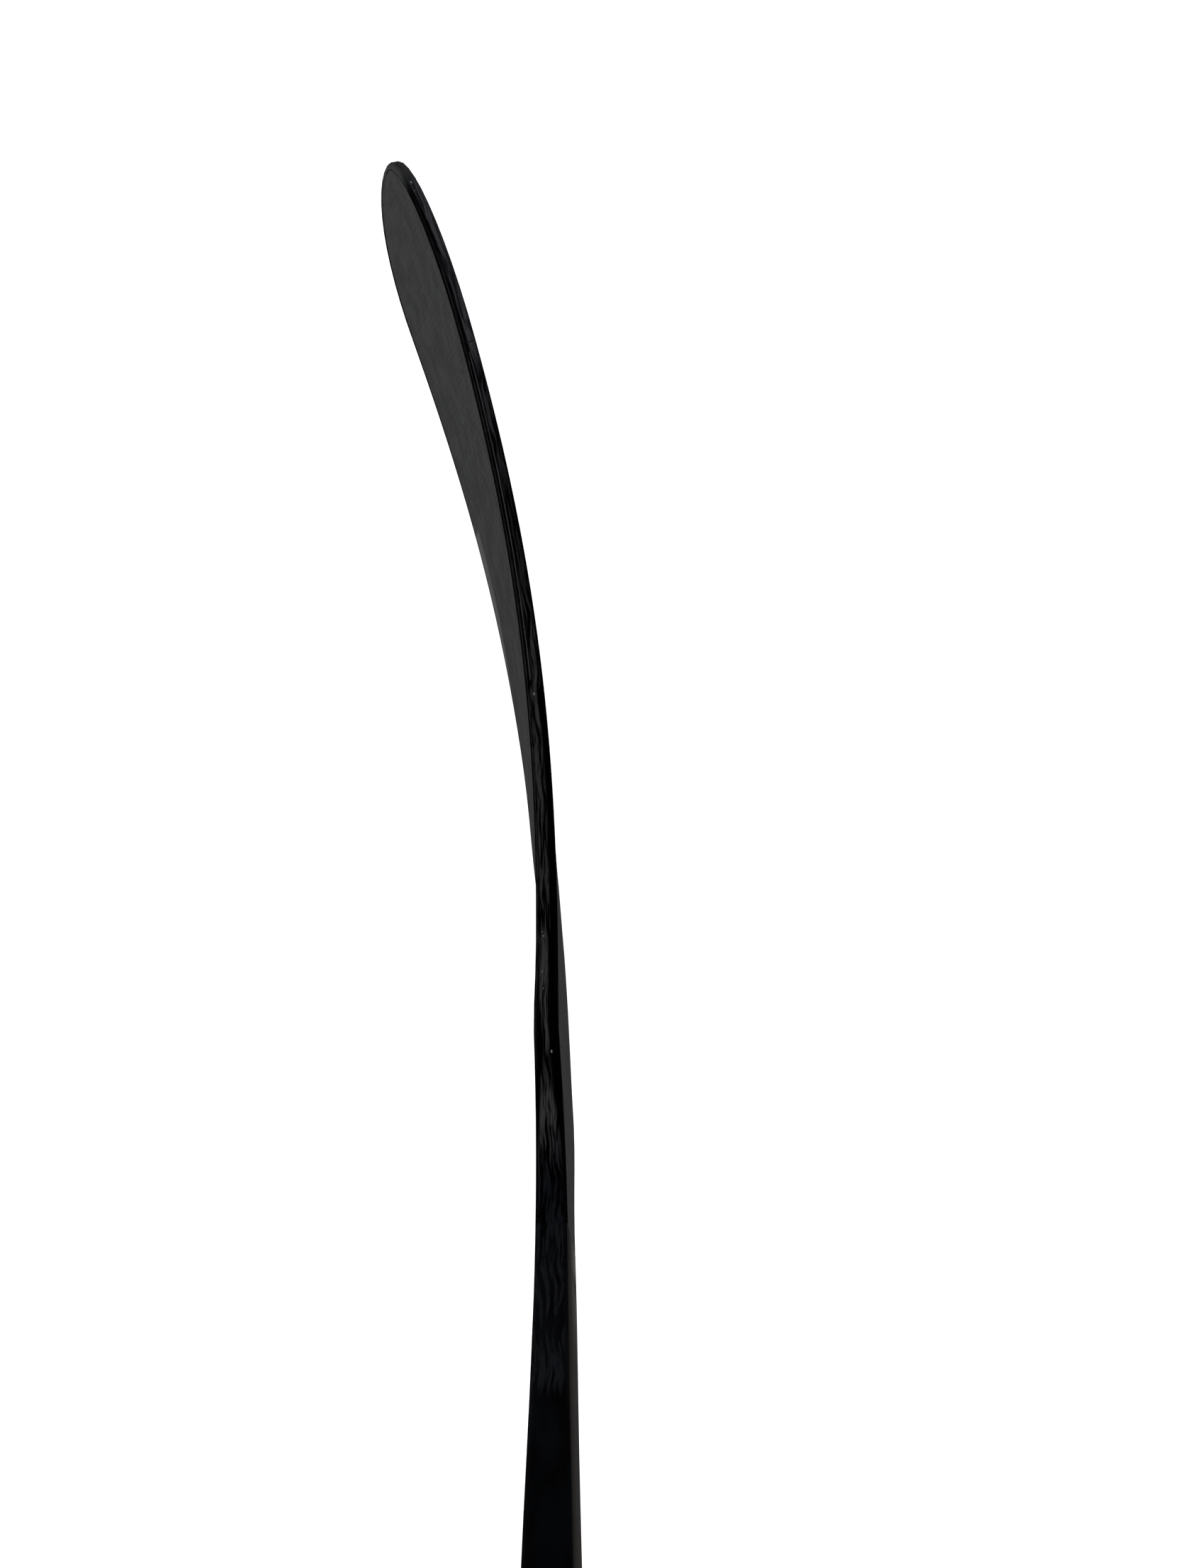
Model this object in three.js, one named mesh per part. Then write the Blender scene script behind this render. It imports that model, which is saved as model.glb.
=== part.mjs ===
// Composite ice hockey stick, right-handed, in playing position. Millimetres, +Z up.
// +X runs along the ice from heel to toe, +Y is the forehand side, to which the blade curves.
// Every piece is drawn on the flat, straight blank first, with s along the ice from the heel,
// h above the sole and w across towards the forehand. inSpace() then curves and opens the blade.

import * as THREE from "three";
import { mergeVertices } from "three/addons/utils/BufferGeometryUtils.js";

// ---- Overall ----
const STICK_LENGTH = 1500; // heel to butt along the shaft
const LIE_ANGLE = THREE.MathUtils.degToRad(47); // shaft above the ice
const GRIP_FROM_BUTT = 70; // centre of the top hand
const GAP = 0.3; // between pieces that touch

// ---- Blade outline ----
const BLADE_LENGTH = 312;
const BLADE_HEIGHT = 59.0;
const TOE_TIP_HEIGHT = 34;
const TOE_TOP_REACH = 78; // length over which the top edge falls to the tip
const TOE_SOLE_REACH = 54; // length over which the sole rises to the tip
const THROAT_START = 25; // where the top edge leaves the blade for the shaft
const HEEL_START = 26; // where the sole leaves the ice
const HEEL_END = 38; // where the heel curve meets the shaft's outer side
const THROAT_END = 153; // where the throat curve meets the shaft's inner side

// ---- Blade thickness, curve and opening ----
const HEEL_THICKNESS = 7.9;
const TOE_THICKNESS = 4.7;
const THINNING_POWER = 1.65;
// Extra thickness of the outer edge beside the heel: how much, how far up from it, how widely.
const OUTER_SWELLS = [
  { extra: 1.2, at: -60, spread: 20 },
  { extra: 2.2, at: 50, spread: 25 },
];
const CURVE_TURN = THREE.MathUtils.degToRad(15.8); // heel to toe
const CURVE_EARLY_SHARE = 0.19; // how much of the turn comes early
const FACE_OPENING = THREE.MathUtils.degToRad(23.3); // at the toe
const OPENING_POWER = 0.936;

// ---- Shaft ----
const SHAFT_WIDTH = 30.3; // the wide faces
const SHAFT_THICKNESS = 20; // the narrow faces
const HOSEL_WIDTH = 29.6;
const WIDTH_TAPER_END = 400;
const HOSEL_THICKNESS = 5.9; // at the throat
// Thickness up the hosel and the lower shaft, as points of a smooth curve.
const THICKENING = [
  { q: 45, thick: HOSEL_THICKNESS },
  { q: 85, thick: HOSEL_THICKNESS + 2.3 },
  { q: 128, thick: HOSEL_THICKNESS + 4.5 },
  { q: 198, thick: HOSEL_THICKNESS + 7.0 },
  { q: 268, thick: SHAFT_THICKNESS - 4.1 },
  { q: 380, thick: SHAFT_THICKNESS - 1.2 },
  { q: 560, thick: SHAFT_THICKNESS },
];
const SHAFT_CORNER = 4.5;
const CORNER_GROWS_FROM = 120;
const CORNER_GROWN_BY = 400;
const LEAST_CORNER = 0.5;
const SHAFT_WALL = 1.5;
const JOINT = 160; // where the shaft tube sits on the hosel

// ---- Blade build-up ----
const EDGE_DEPTH = 2.2; // depth of the edge bands
const EDGE_CORNER = 1.3;
const SKIN = 0.9;
const RIB = 2.4;
const RIB_AT = 0.5; // share of the height from the top edge
const TOE_CORE_START = 262;
const HEEL_CORE_START = 34;
const HEEL_CORE_END = 100;

// ---- Joint ----
const TENON_START = 102;
const TENON_TOP = 226;
const ADHESIVE = 0.4;
const ADHESIVE_TOP = 220;
const TENON_CORNER = 1.2;
const DAM_START = 229;
const DAM_LENGTH = 18;
const WRAP = 0.35;
const WRAP_TOP = 199;
const WRAP_LOW_INNER = 121; // the wrap's lower end is cut slanting
const WRAP_LOW_OUTER = 103;

// ---- Butt plug ----
const PLUG_DEPTH = 42;
const PLUG_FLANGE = 5;
const PLUG_WALL = 2.2;
const PLUG_FLOOR = 3;
const PLUG_ROUNDING = 2;

// ---- How finely curves are divided ----
const TOE_STEPS = 9;
const BLADE_STEPS = 28;
const HEIGHT_STEPS = 5;
const THROAT_STEPS = 12;
const TAPER_STEPS = 16;
const CORNER_STEPS = 2;
const WRAPPED_STEPS = 3;
const LEAST_LAYER = 4; // along the stick, beside the wrap's end
const LAST_TOE_ANGLE = THREE.MathUtils.degToRad(84);

const shaftUp = new THREE.Vector2(-Math.cos(LIE_ANGLE), Math.sin(LIE_ANGLE));
const shaftIn = new THREE.Vector2(Math.sin(LIE_ANGLE), Math.cos(LIE_ANGLE));

// ---- Thickness and width along the stick ----

function bladeThickness(s) {
  const left = 1 - THREE.MathUtils.clamp(s / BLADE_LENGTH, 0, 1);
  return TOE_THICKNESS + (HEEL_THICKNESS - TOE_THICKNESS) * left ** THINNING_POWER;
}

// The curve through the points of THICKENING, level at both ends.
function shaftThickness(q) {
  const slopeAt = (i) => {
    if (i === 0 || i === THICKENING.length - 1) return 0;
    const rise = THICKENING[i + 1].thick - THICKENING[i - 1].thick;
    return rise / (THICKENING[i + 1].q - THICKENING[i - 1].q);
  };
  if (q <= THICKENING[0].q) return THICKENING[0].thick;
  const next = THICKENING.findIndex((point) => point.q > q);
  if (next < 0) return SHAFT_THICKNESS;
  const a = THICKENING[next - 1];
  const b = THICKENING[next];
  const span = b.q - a.q;
  const t = (q - a.q) / span;
  const early = t * (1 - t) ** 2 * span * slopeAt(next - 1);
  const late = t ** 2 * (1 - t) * span * slopeAt(next);
  return THREE.MathUtils.lerp(a.thick, b.thick, t ** 2 * (3 - 2 * t)) + early - late;
}

function shaftWidth(q) {
  const along = THREE.MathUtils.clamp(q / WIDTH_TAPER_END, 0, 1);
  return THREE.MathUtils.lerp(HOSEL_WIDTH, SHAFT_WIDTH, along);
}

function cornerRadius(q) {
  const along = (q - CORNER_GROWS_FROM) / (CORNER_GROWN_BY - CORNER_GROWS_FROM);
  return THREE.MathUtils.lerp(EDGE_CORNER, SHAFT_CORNER, THREE.MathUtils.clamp(along, 0, 1));
}

function outerSwell(fromHeel) {
  const each = OUTER_SWELLS.map(
    ({ extra, at, spread }) => extra * Math.exp(-(((fromHeel - at) / spread) ** 2)),
  );
  return each.reduce((sum, extra) => sum + extra, 0);
}

// A point of the blank q up the shaft's centreline, and across from it towards the inner side.
function onShaft(q, across) {
  return shaftUp.clone().multiplyScalar(q).addScaledVector(shaftIn, across);
}

// ---- The blank's two long edges, each a chain of curves from the toe tip to the shaft ----

// The point where the line through "from" along the shaft comes down to height h.
function downShaftTo(from, h) {
  return from.clone().addScaledVector(shaftUp, (h - from.y) / shaftUp.y);
}

const throatEnd = onShaft(THROAT_END, shaftWidth(THROAT_END) / 2);
const heelEnd = onShaft(HEEL_END, -shaftWidth(HEEL_END) / 2);
const throatStart = new THREE.Vector2(THROAT_START, BLADE_HEIGHT);
const heelStart = new THREE.Vector2(HEEL_START, 0);
const throatBend = downShaftTo(throatEnd, BLADE_HEIGHT);
const heelBend = downShaftTo(heelEnd, 0);
const throatCurve = new THREE.QuadraticBezierCurve(throatStart, throatBend, throatEnd);
const heelCurve = new THREE.QuadraticBezierCurve(heelStart, heelBend, heelEnd);

const TOE_TOP_RISE = BLADE_HEIGHT - TOE_TIP_HEIGHT;
const topStart = new THREE.Vector2(BLADE_LENGTH - TOE_TOP_REACH, BLADE_HEIGHT);
const soleStart = new THREE.Vector2(BLADE_LENGTH - TOE_SOLE_REACH, 0);

const innerEdge = {
  toe: (angle) =>
    new THREE.Vector2(
      BLADE_LENGTH - TOE_TOP_REACH * (1 - Math.sin(angle)),
      TOE_TIP_HEIGHT + TOE_TOP_RISE * Math.cos(angle),
    ),
  toeInto: (angle) =>
    new THREE.Vector2(-TOE_TOP_RISE * Math.sin(angle), -TOE_TOP_REACH * Math.cos(angle)),
  straight: (share) => topStart.clone().lerp(throatStart, share),
  inward: -1,
  bend: throatCurve,
  bendEnd: THROAT_END,
  side: 1,
  swell: () => 0,
};

const outerEdge = {
  toe: (angle) =>
    new THREE.Vector2(
      BLADE_LENGTH - TOE_SOLE_REACH * (1 - Math.sin(angle)),
      TOE_TIP_HEIGHT * (1 - Math.cos(angle)),
    ),
  toeInto: (angle) =>
    new THREE.Vector2(-TOE_TIP_HEIGHT * Math.sin(angle), TOE_SOLE_REACH * Math.cos(angle)),
  straight: (share) => soleStart.clone().lerp(heelStart, share),
  inward: 1,
  bend: heelCurve,
  bendEnd: HEEL_END,
  side: -1,
  swell: outerSwell,
};

// Where an edge is at a place: its point, the direction into the blank and its thickness.
// A place is one of {toe: angle}, {blade: share of its straight}, {bend: share} or {shaft: q}.
function edgeAt(edge, place) {
  if ("toe" in place) {
    const point = edge.toe(place.toe);
    const into = edge.toeInto(place.toe).normalize();
    return { point, into, thick: bladeThickness(point.x) + edge.swell(-point.x) };
  }
  if ("blade" in place) {
    const point = edge.straight(place.blade);
    const into = new THREE.Vector2(0, edge.inward);
    return { point, into, thick: bladeThickness(point.x) + edge.swell(-point.x) };
  }
  if ("bend" in place) {
    const point = edge.bend.getPoint(place.bend);
    const along = edge.bend.getTangent(place.bend);
    const into = new THREE.Vector2(-along.y, along.x).multiplyScalar(edge.side);
    const from = bladeThickness(edge.bend.v0.x);
    const fromHeel = THREE.MathUtils.lerp(-edge.bend.v0.x, edge.bendEnd, place.bend);
    const thick = THREE.MathUtils.lerp(from, shaftThickness(edge.bendEnd), place.bend);
    return { point, into, thick: thick + edge.swell(fromHeel) };
  }
  const point = onShaft(place.shaft, (edge.side * shaftWidth(place.shaft)) / 2);
  const into = shaftIn.clone().multiplyScalar(-edge.side);
  return { point, into, thick: shaftThickness(place.shaft) + edge.swell(place.shaft) };
}

// The place on an edge that is q up the shaft, on its bend or on its straight.
function upEdge(edge, q) {
  if (q >= edge.bendEnd) return { shaft: q };
  let low = 0;
  let high = 1;
  for (let i = 0; i < 30; i++) {
    const middle = (low + high) / 2;
    if (edge.bend.getPoint(middle).dot(shaftUp) < q) low = middle;
    else high = middle;
  }
  return { bend: (low + high) / 2 };
}

// ---- The moulded curve ----

const CURVE_TABLE = 240;
const curve = [{ angle: 0, x: 0, y: 0 }];
for (let i = 1; i <= CURVE_TABLE; i++) {
  const share = i / CURVE_TABLE;
  const step = BLADE_LENGTH / CURVE_TABLE;
  const even = (1 - Math.cos(Math.PI * share)) / 2;
  const early = (CURVE_EARLY_SHARE * Math.sin(Math.PI * share)) / 2;
  const last = curve[i - 1];
  const angle = CURVE_TURN * (even + early);
  const middle = (angle + last.angle) / 2;
  curve.push({ angle, x: last.x + step * Math.cos(middle), y: last.y + step * Math.sin(middle) });
}

function inSpace(blank, w) {
  const onBlade = THREE.MathUtils.clamp(blank.x, 0, BLADE_LENGTH);
  const beyond = blank.x - onBlade;
  const at = (onBlade / BLADE_LENGTH) * CURVE_TABLE;
  const low = Math.min(Math.floor(at), CURVE_TABLE - 1);
  const a = curve[low];
  const b = curve[low + 1];
  const angle = THREE.MathUtils.lerp(a.angle, b.angle, at - low);
  const x = THREE.MathUtils.lerp(a.x, b.x, at - low) + beyond * Math.cos(angle);
  const y = THREE.MathUtils.lerp(a.y, b.y, at - low) + beyond * Math.sin(angle);
  const opening = FACE_OPENING * (onBlade / BLADE_LENGTH) ** OPENING_POWER;
  const across = w * Math.cos(opening) - blank.y * Math.sin(opening);
  const up = blank.y * Math.cos(opening) + w * Math.sin(opening);
  return new THREE.Vector3(x - across * Math.sin(angle), y + across * Math.cos(angle), up);
}

// ---- Making a piece ----

function between(a, b, steps) {
  return Array.from({ length: steps + 1 }, (_, i) => THREE.MathUtils.lerp(a, b, i / steps));
}

// A section is extruded one unit for each station, and put() then says where each point goes.
function sweep(section, stations, put) {
  const layers = stations.length - 1;
  const blank = new THREE.ExtrudeGeometry(section, {
    depth: layers,
    steps: layers,
    bevelEnabled: false,
    curveSegments: CORNER_STEPS,
  });
  blank.deleteAttribute("normal");
  blank.deleteAttribute("uv");
  const geometry = mergeVertices(blank, 1e-4);
  const points = geometry.attributes.position;
  for (let i = 0; i < points.count; i++) {
    const station = stations[Math.round(points.getZ(i))];
    const at = put(station, points.getX(i), points.getY(i));
    points.setXYZ(i, at.x, at.y, at.z);
  }
  return facingOut(geometry);
}

// Turns every face round if the piece came out inside out.
function facingOut(geometry) {
  const index = geometry.index.array;
  const points = geometry.attributes.position;
  const corner = [new THREE.Vector3(), new THREE.Vector3(), new THREE.Vector3()];
  let volume = 0;
  for (let i = 0; i < index.length; i += 3) {
    corner.forEach((c, k) => c.fromBufferAttribute(points, index[i + k]));
    volume += corner[0].dot(corner[1].clone().cross(corner[2]));
  }
  if (volume < 0) {
    for (let i = 0; i < index.length; i += 3) {
      [index[i + 1], index[i + 2]] = [index[i + 2], index[i + 1]];
    }
  }
  geometry.computeVertexNormals();
  return geometry;
}

const stick = new THREE.Group();

function add(name, geometry, look) {
  const mesh = new THREE.Mesh(geometry, new THREE.MeshStandardMaterial(look));
  mesh.name = name;
  stick.add(mesh);
}

const carbonFace = { color: 0x373834, roughness: 0.55, metalness: 0 };
const carbonGloss = { color: 0x0b0b0e, roughness: 0.22, metalness: 0 };
const carbonBare = { color: 0x161617, roughness: 0.5, metalness: 0 };
const foam = { color: 0xd9d2b4, roughness: 0.9, metalness: 0 };
const epoxy = { color: 0xc9a24a, roughness: 0.4, metalness: 0 };
const plastic = { color: 0x101011, roughness: 0.45, metalness: 0 };

// ---- Stations: where a piece's layers lie, as places on the inner and the outer edge ----

const toePlaces = between(LAST_TOE_ANGLE, 0, TOE_STEPS).map((toe) => ({ toe }));
const straightPlaces = between(0, 1, BLADE_STEPS).slice(1).map((blade) => ({ blade }));
const wrapRecess = WRAP + GAP; // how far the pieces under the joint wrap are drawn in
const skinUnderWrap = wrapRecess + SKIN / 2;

function qAt(edge, place) {
  return edgeAt(edge, place).point.dot(shaftUp);
}

// Whether a place is far enough below the wrap to have a layer of its own.
function belowWrap(edge, place, wrapLow) {
  return qAt(edge, place) < wrapLow - LEAST_LAYER;
}

// The pair of places q up the shaft: the outer one lags behind where the wrap's end slants.
function hoselPair(innerQ, outerQ, rest) {
  return { inner: upEdge(innerEdge, innerQ), outer: upEdge(outerEdge, outerQ), ...rest };
}

// The pair a share of the way from the wrap's slanting lower end, less the gap, up to the joint.
function wrappedPair(share, rest) {
  return hoselPair(
    THREE.MathUtils.lerp(WRAP_LOW_INNER - GAP, JOINT, share),
    THREE.MathUtils.lerp(WRAP_LOW_OUTER - GAP, JOINT, share),
    rest,
  );
}

// Pairs from the end of the blade's straight, round throat and heel, up to topQ.
function throatPairs(topQ, rest) {
  const innerFrom = throatStart.dot(shaftUp);
  const outerFrom = heelStart.dot(shaftUp);
  return between(0, 1, THROAT_STEPS).slice(1).map((share) => {
    const innerQ = THREE.MathUtils.lerp(innerFrom, topQ, share);
    return hoselPair(innerQ, THREE.MathUtils.lerp(outerFrom, topQ, share), rest);
  });
}

// The place at s along the blade, on the toe's curve or on the straight.
function placeAtS(reach, bendStart, s) {
  const straightEnd = BLADE_LENGTH - reach;
  if (s > straightEnd) return { toe: Math.asin((s - straightEnd) / reach) };
  return { blade: (straightEnd - s) / (straightEnd - bendStart) };
}

function pairAtS(s) {
  return {
    inner: placeAtS(TOE_TOP_REACH, THROAT_START, s),
    outer: placeAtS(TOE_SOLE_REACH, HEEL_START, s),
  };
}

// ---- Faces, cores and rib: pieces that lie across the blade between its edge bands ----

// The point at a depth from an edge: straight in on the toe, and elsewhere on the line across to
// the other edge, so that pieces whose ends slant alike keep their gap.
function atDepth(from, to, isToe, depth) {
  if (isToe) return from.point.clone().addScaledVector(from.into, depth);
  const line = to.point.clone().sub(from.point).normalize();
  return from.point.clone().addScaledVector(line, depth / line.dot(from.into));
}

// The section has x across the thickness, and y from 0 at the inner band to 1 at the outer one.
function acrossBlade(stations, put) {
  const section = new THREE.Shape([
    ...between(0, 1, HEIGHT_STEPS).map((y) => new THREE.Vector2(1, y)),
    ...between(1, 0, HEIGHT_STEPS).map((y) => new THREE.Vector2(-1, y)),
  ]);
  return sweep(section, stations, (station, x, y) => {
    const inner = edgeAt(innerEdge, station.inner);
    const outer = edgeAt(outerEdge, station.outer);
    const top = atDepth(inner, outer, "toe" in station.inner, EDGE_DEPTH + GAP);
    const low = atDepth(outer, inner, "toe" in station.outer, EDGE_DEPTH + GAP);
    const { share, side, inset } = put(station, x, y, top.distanceTo(low));
    const half = THREE.MathUtils.lerp(inner.thick, outer.thick, share) / 2;
    return inSpace(top.lerp(low, share), side * (half - inset));
  });
}

// A face skin: moulded laminate over the blade's and the hosel's wide side, thinned under the wrap.
function faceSkin(side) {
  const blade = [...toePlaces, ...straightPlaces].map((place) => ({ inner: place, outer: place }));
  const throat = throatPairs(JOINT)
    .filter(({ inner }) => belowWrap(innerEdge, inner, WRAP_LOW_INNER))
    .filter(({ outer }) => belowWrap(outerEdge, outer, WRAP_LOW_OUTER));
  const bare = [...blade, ...throat, wrappedPair(0)];
  const recess = { outside: wrapRecess, inside: skinUnderWrap };
  const wrapped = between(0, 1, WRAPPED_STEPS).map((share) => wrappedPair(share, recess));
  return acrossBlade([...bare, ...wrapped], (station, x, y) => {
    const { outside = 0, inside = SKIN } = station;
    return { share: y, side, inset: x > 0 ? outside : inside };
  });
}

add("forehand_skin", faceSkin(1), carbonFace);
add("backhand_skin", faceSkin(-1), carbonFace);

// A foam core or rib, over part of the height: each end is a share and a margin in millimetres.
function core(stations, start, end) {
  return acrossBlade(stations, (station, x, y, height) => {
    const from = start.share + start.margin / height;
    const to = end.share - end.margin / height;
    return { share: THREE.MathUtils.lerp(from, to, y), side: x, inset: SKIN + GAP };
  });
}

const mainStations = between(TOE_CORE_START, HEEL_CORE_START, BLADE_STEPS).map(pairAtS);
const innerEnd = { share: 0, margin: 0 };
const outerEnd = { share: 1, margin: 0 };
const besideRib = { share: RIB_AT, margin: RIB / 2 + GAP };
const ribSide = { share: RIB_AT, margin: -RIB / 2 };
add("upper_core", core(mainStations, innerEnd, besideRib), foam);
add("lower_core", core(mainStations, besideRib, outerEnd), foam);
add("centre_rib", core(mainStations, ribSide, ribSide), carbonBare);

const toeStations = toePlaces
  .filter(({ toe }) => innerEdge.toe(toe).x > TOE_CORE_START + LEAST_LAYER)
  .map((place) => ({ inner: place, outer: place }));
add("toe_core", core([...toeStations, pairAtS(TOE_CORE_START + GAP)], innerEnd, outerEnd), foam);

const heelThroat = throatPairs(JOINT).filter(({ inner }) => qAt(innerEdge, inner) < HEEL_CORE_END);
const straightEnd = { inner: { blade: 1 }, outer: { blade: 1 } };
const heelStations = [pairAtS(HEEL_CORE_START - GAP), straightEnd, ...heelThroat];
add("heel_core", core(heelStations, innerEnd, outerEnd), foam);

// ---- Edge bands: resin-rich braid round the blade's edge, with rounded outer corners ----

// The section is drawn in corner radii: x beyond 1 is a corner, and y is depth, past 1 all of it.
function bandSection() {
  const section = new THREE.Shape();
  section.moveTo(-2, 2);
  section.lineTo(-2, 1);
  section.absarc(-1, 1, 1, Math.PI, 1.5 * Math.PI);
  section.lineTo(1, 0);
  section.absarc(1, 1, 1, 1.5 * Math.PI, 2 * Math.PI);
  section.lineTo(2, 2);
  return section;
}

function edgeBand(stations) {
  return sweep(bandSection(), stations, ({ edge, place, facing, recess = 0 }, x, y) => {
    const near = edgeAt(edge, place);
    const w = Math.sign(x) * (near.thick / 2 - recess - EDGE_CORNER * (2 - Math.abs(x)));
    const depth = y > 1.5 ? EDGE_DEPTH : recess + EDGE_CORNER * y;
    return inSpace(atDepth(near, facing, !facing, depth), w);
  });
}

// From beside the toe band, along the straight and the bend, to the joint.
function longBandStations(edge, wrapLow, side, otherEdge, otherSide) {
  const gapPlace = { blade: GAP / topStart.distanceTo(throatStart) };
  const bend = between(0, 1, THROAT_STEPS).slice(1).map((share) => ({ bend: share }));
  const hosel = between(edge.bendEnd, wrapLow, THROAT_STEPS / 2).slice(1).map((q) => ({ shaft: q }));
  const bare = [gapPlace, ...straightPlaces, ...bend, ...hosel]
    .filter((place) => belowWrap(edge, place, wrapLow))
    .map((place) => ({ edge, place }));
  const slanting = (share, recess) => {
    const pair = wrappedPair(share);
    return { edge, place: pair[side], facing: edgeAt(otherEdge, pair[otherSide]), recess };
  };
  const wrapped = between(0, 1, WRAPPED_STEPS).map((share) => slanting(share, wrapRecess));
  return [...bare, slanting(0, 0), ...wrapped];
}

const topStations = longBandStations(innerEdge, WRAP_LOW_INNER, "inner", outerEdge, "outer");
const soleStations = longBandStations(outerEdge, WRAP_LOW_OUTER, "outer", innerEdge, "inner");
add("top_edge_band", edgeBand(topStations), carbonGloss);
add("sole_edge_band", edgeBand(soleStations), carbonGloss);

const quarter = between(0, Math.PI / 2, TOE_STEPS + 3);
const roundToe = [
  ...quarter.map((toe) => ({ edge: innerEdge, place: { toe } })),
  ...quarter.slice(0, -1).reverse().map((toe) => ({ edge: outerEdge, place: { toe } })),
];
add("toe_edge_band", edgeBand(roundToe), carbonGloss);

// ---- Shaft, joint and butt: rounded-rectangle pieces stacked along the shaft ----

// A rounded rectangle drawn in corner radii about corners at 1, which ringPiece() moves outwards.
function ring(radius, Kind) {
  const outline = new Kind();
  outline.moveTo(1 + radius, 1);
  outline.absarc(1, 1, radius, 0, Math.PI / 2);
  outline.absarc(-1, 1, radius, Math.PI / 2, Math.PI);
  outline.absarc(-1, -1, radius, Math.PI, 1.5 * Math.PI);
  outline.absarc(1, -1, radius, 1.5 * Math.PI, 2 * Math.PI);
  return outline;
}

const HOLE_DRAWN = 0.5; // drawn radius of a hole's corners, against 1 outside
const solidSection = ring(1, THREE.Shape);
const hollowSection = ring(1, THREE.Shape);
hollowSection.holes.push(ring(HOLE_DRAWN, THREE.Path));

// Each station has a pair of places and, for the outside and the hole, how far its ring is drawn in
// from the stick's surface across the thickness and across the width, and its corner radius.
function ringPiece(section, stations) {
  return sweep(section, stations, (station, x, y) => {
    const cornerX = Math.abs(x) - 1;
    const cornerY = Math.abs(y) - 1;
    const drawn = Math.hypot(cornerX, cornerY) > (1 + HOLE_DRAWN) / 2 ? 1 : HOLE_DRAWN;
    const { thin, wide, radius } = drawn === 1 ? station.outside : station.hole;
    const inner = edgeAt(innerEdge, station.inner);
    const outer = edgeAt(outerEdge, station.outer);
    const width = inner.point.distanceTo(outer.point);
    const fromMiddle = Math.sign(y) * (width / 2 - wide - radius * (1 - cornerY / drawn));
    const share = 0.5 - fromMiddle / width;
    const half = THREE.MathUtils.lerp(inner.thick, outer.thick, share) / 2;
    const w = Math.sign(x) * (half - thin - radius * (1 - cornerX / drawn));
    return inSpace(inner.point.lerp(outer.point, share), w);
  });
}

function drawnIn(inset, q) {
  return { thin: inset, wide: inset, radius: Math.max(cornerRadius(q) - inset, LEAST_CORNER) };
}

// The tube, drawn in where the wrap covers it.
function tubeStation(q, recess) {
  const hole = drawnIn(recess + SHAFT_WALL, q);
  return hoselPair(q, q, { outside: drawnIn(recess, q), hole });
}

const tubeEnd = STICK_LENGTH - PLUG_FLANGE - GAP;
const tubeStations = [
  ...between(JOINT + GAP, WRAP_TOP + GAP, 3).map((q) => tubeStation(q, wrapRecess)),
  ...between(WRAP_TOP + GAP, THICKENING.at(-1).q, TAPER_STEPS).map((q) => tubeStation(q, 0)),
  tubeStation(tubeEnd, 0),
];
add("shaft_tube", ringPiece(hollowSection, tubeStations), carbonGloss);

// The wrap: a thin sleeve over the joint, with its lower end cut slanting.
const wrapStations = between(0, 1, THROAT_STEPS).map((share) => {
  const q = THREE.MathUtils.lerp(WRAP_LOW_INNER, WRAP_TOP, share);
  const outerQ = THREE.MathUtils.lerp(WRAP_LOW_OUTER, WRAP_TOP, share);
  return hoselPair(q, outerQ, { outside: drawnIn(0, q), hole: drawnIn(WRAP, q) });
});
add("joint_wrap", ringPiece(hollowSection, wrapStations), carbonGloss);

// The tenon: solid laminate, held between the hosel's skins and then inside the tube.
const inTube = wrapRecess + SHAFT_WALL + GAP;
const inGlue = inTube + ADHESIVE + GAP;
const tenonInHosel = { thin: skinUnderWrap + GAP, wide: EDGE_DEPTH + GAP, radius: TENON_CORNER };
const tenonInTube = { thin: inGlue, wide: inGlue, radius: TENON_CORNER };
const tenonStations = [
  ...between(TENON_START, JOINT, 4).map((q) => ({ q, outside: tenonInHosel })),
  ...between(JOINT, TENON_TOP, 4).map((q) => ({ q, outside: tenonInTube })),
].map(({ q, outside }) => ({ inner: { shaft: q }, outer: { shaft: q }, outside }));
add("tenon", ringPiece(solidSection, tenonStations), carbonBare);

const glueStations = between(JOINT + 2 * GAP, ADHESIVE_TOP, 4).map((q) =>
  hoselPair(q, q, {
    outside: { thin: inTube, wide: inTube, radius: TENON_CORNER },
    hole: { thin: inGlue - GAP, wide: inGlue - GAP, radius: TENON_CORNER - GAP },
  }),
);
add("adhesive_layer", ringPiece(hollowSection, glueStations), epoxy);

const damStations = [DAM_START, DAM_START + DAM_LENGTH].map((q) =>
  hoselPair(q, q, { outside: drawnIn(SHAFT_WALL + GAP, q) }),
);
add("foam_dam", ringPiece(solidSection, damStations), foam);

// The butt plug: a cup pressed into the tube, closed by a rounded flange flush with the shaft. Its
// layers go down the flange and the outside of the cup, and back up the inside to the floor.
function plugStation(q, inset, radius) {
  const outside = { thin: inset, wide: inset, radius };
  return { inner: { shaft: q }, outer: { shaft: q }, outside };
}

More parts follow.
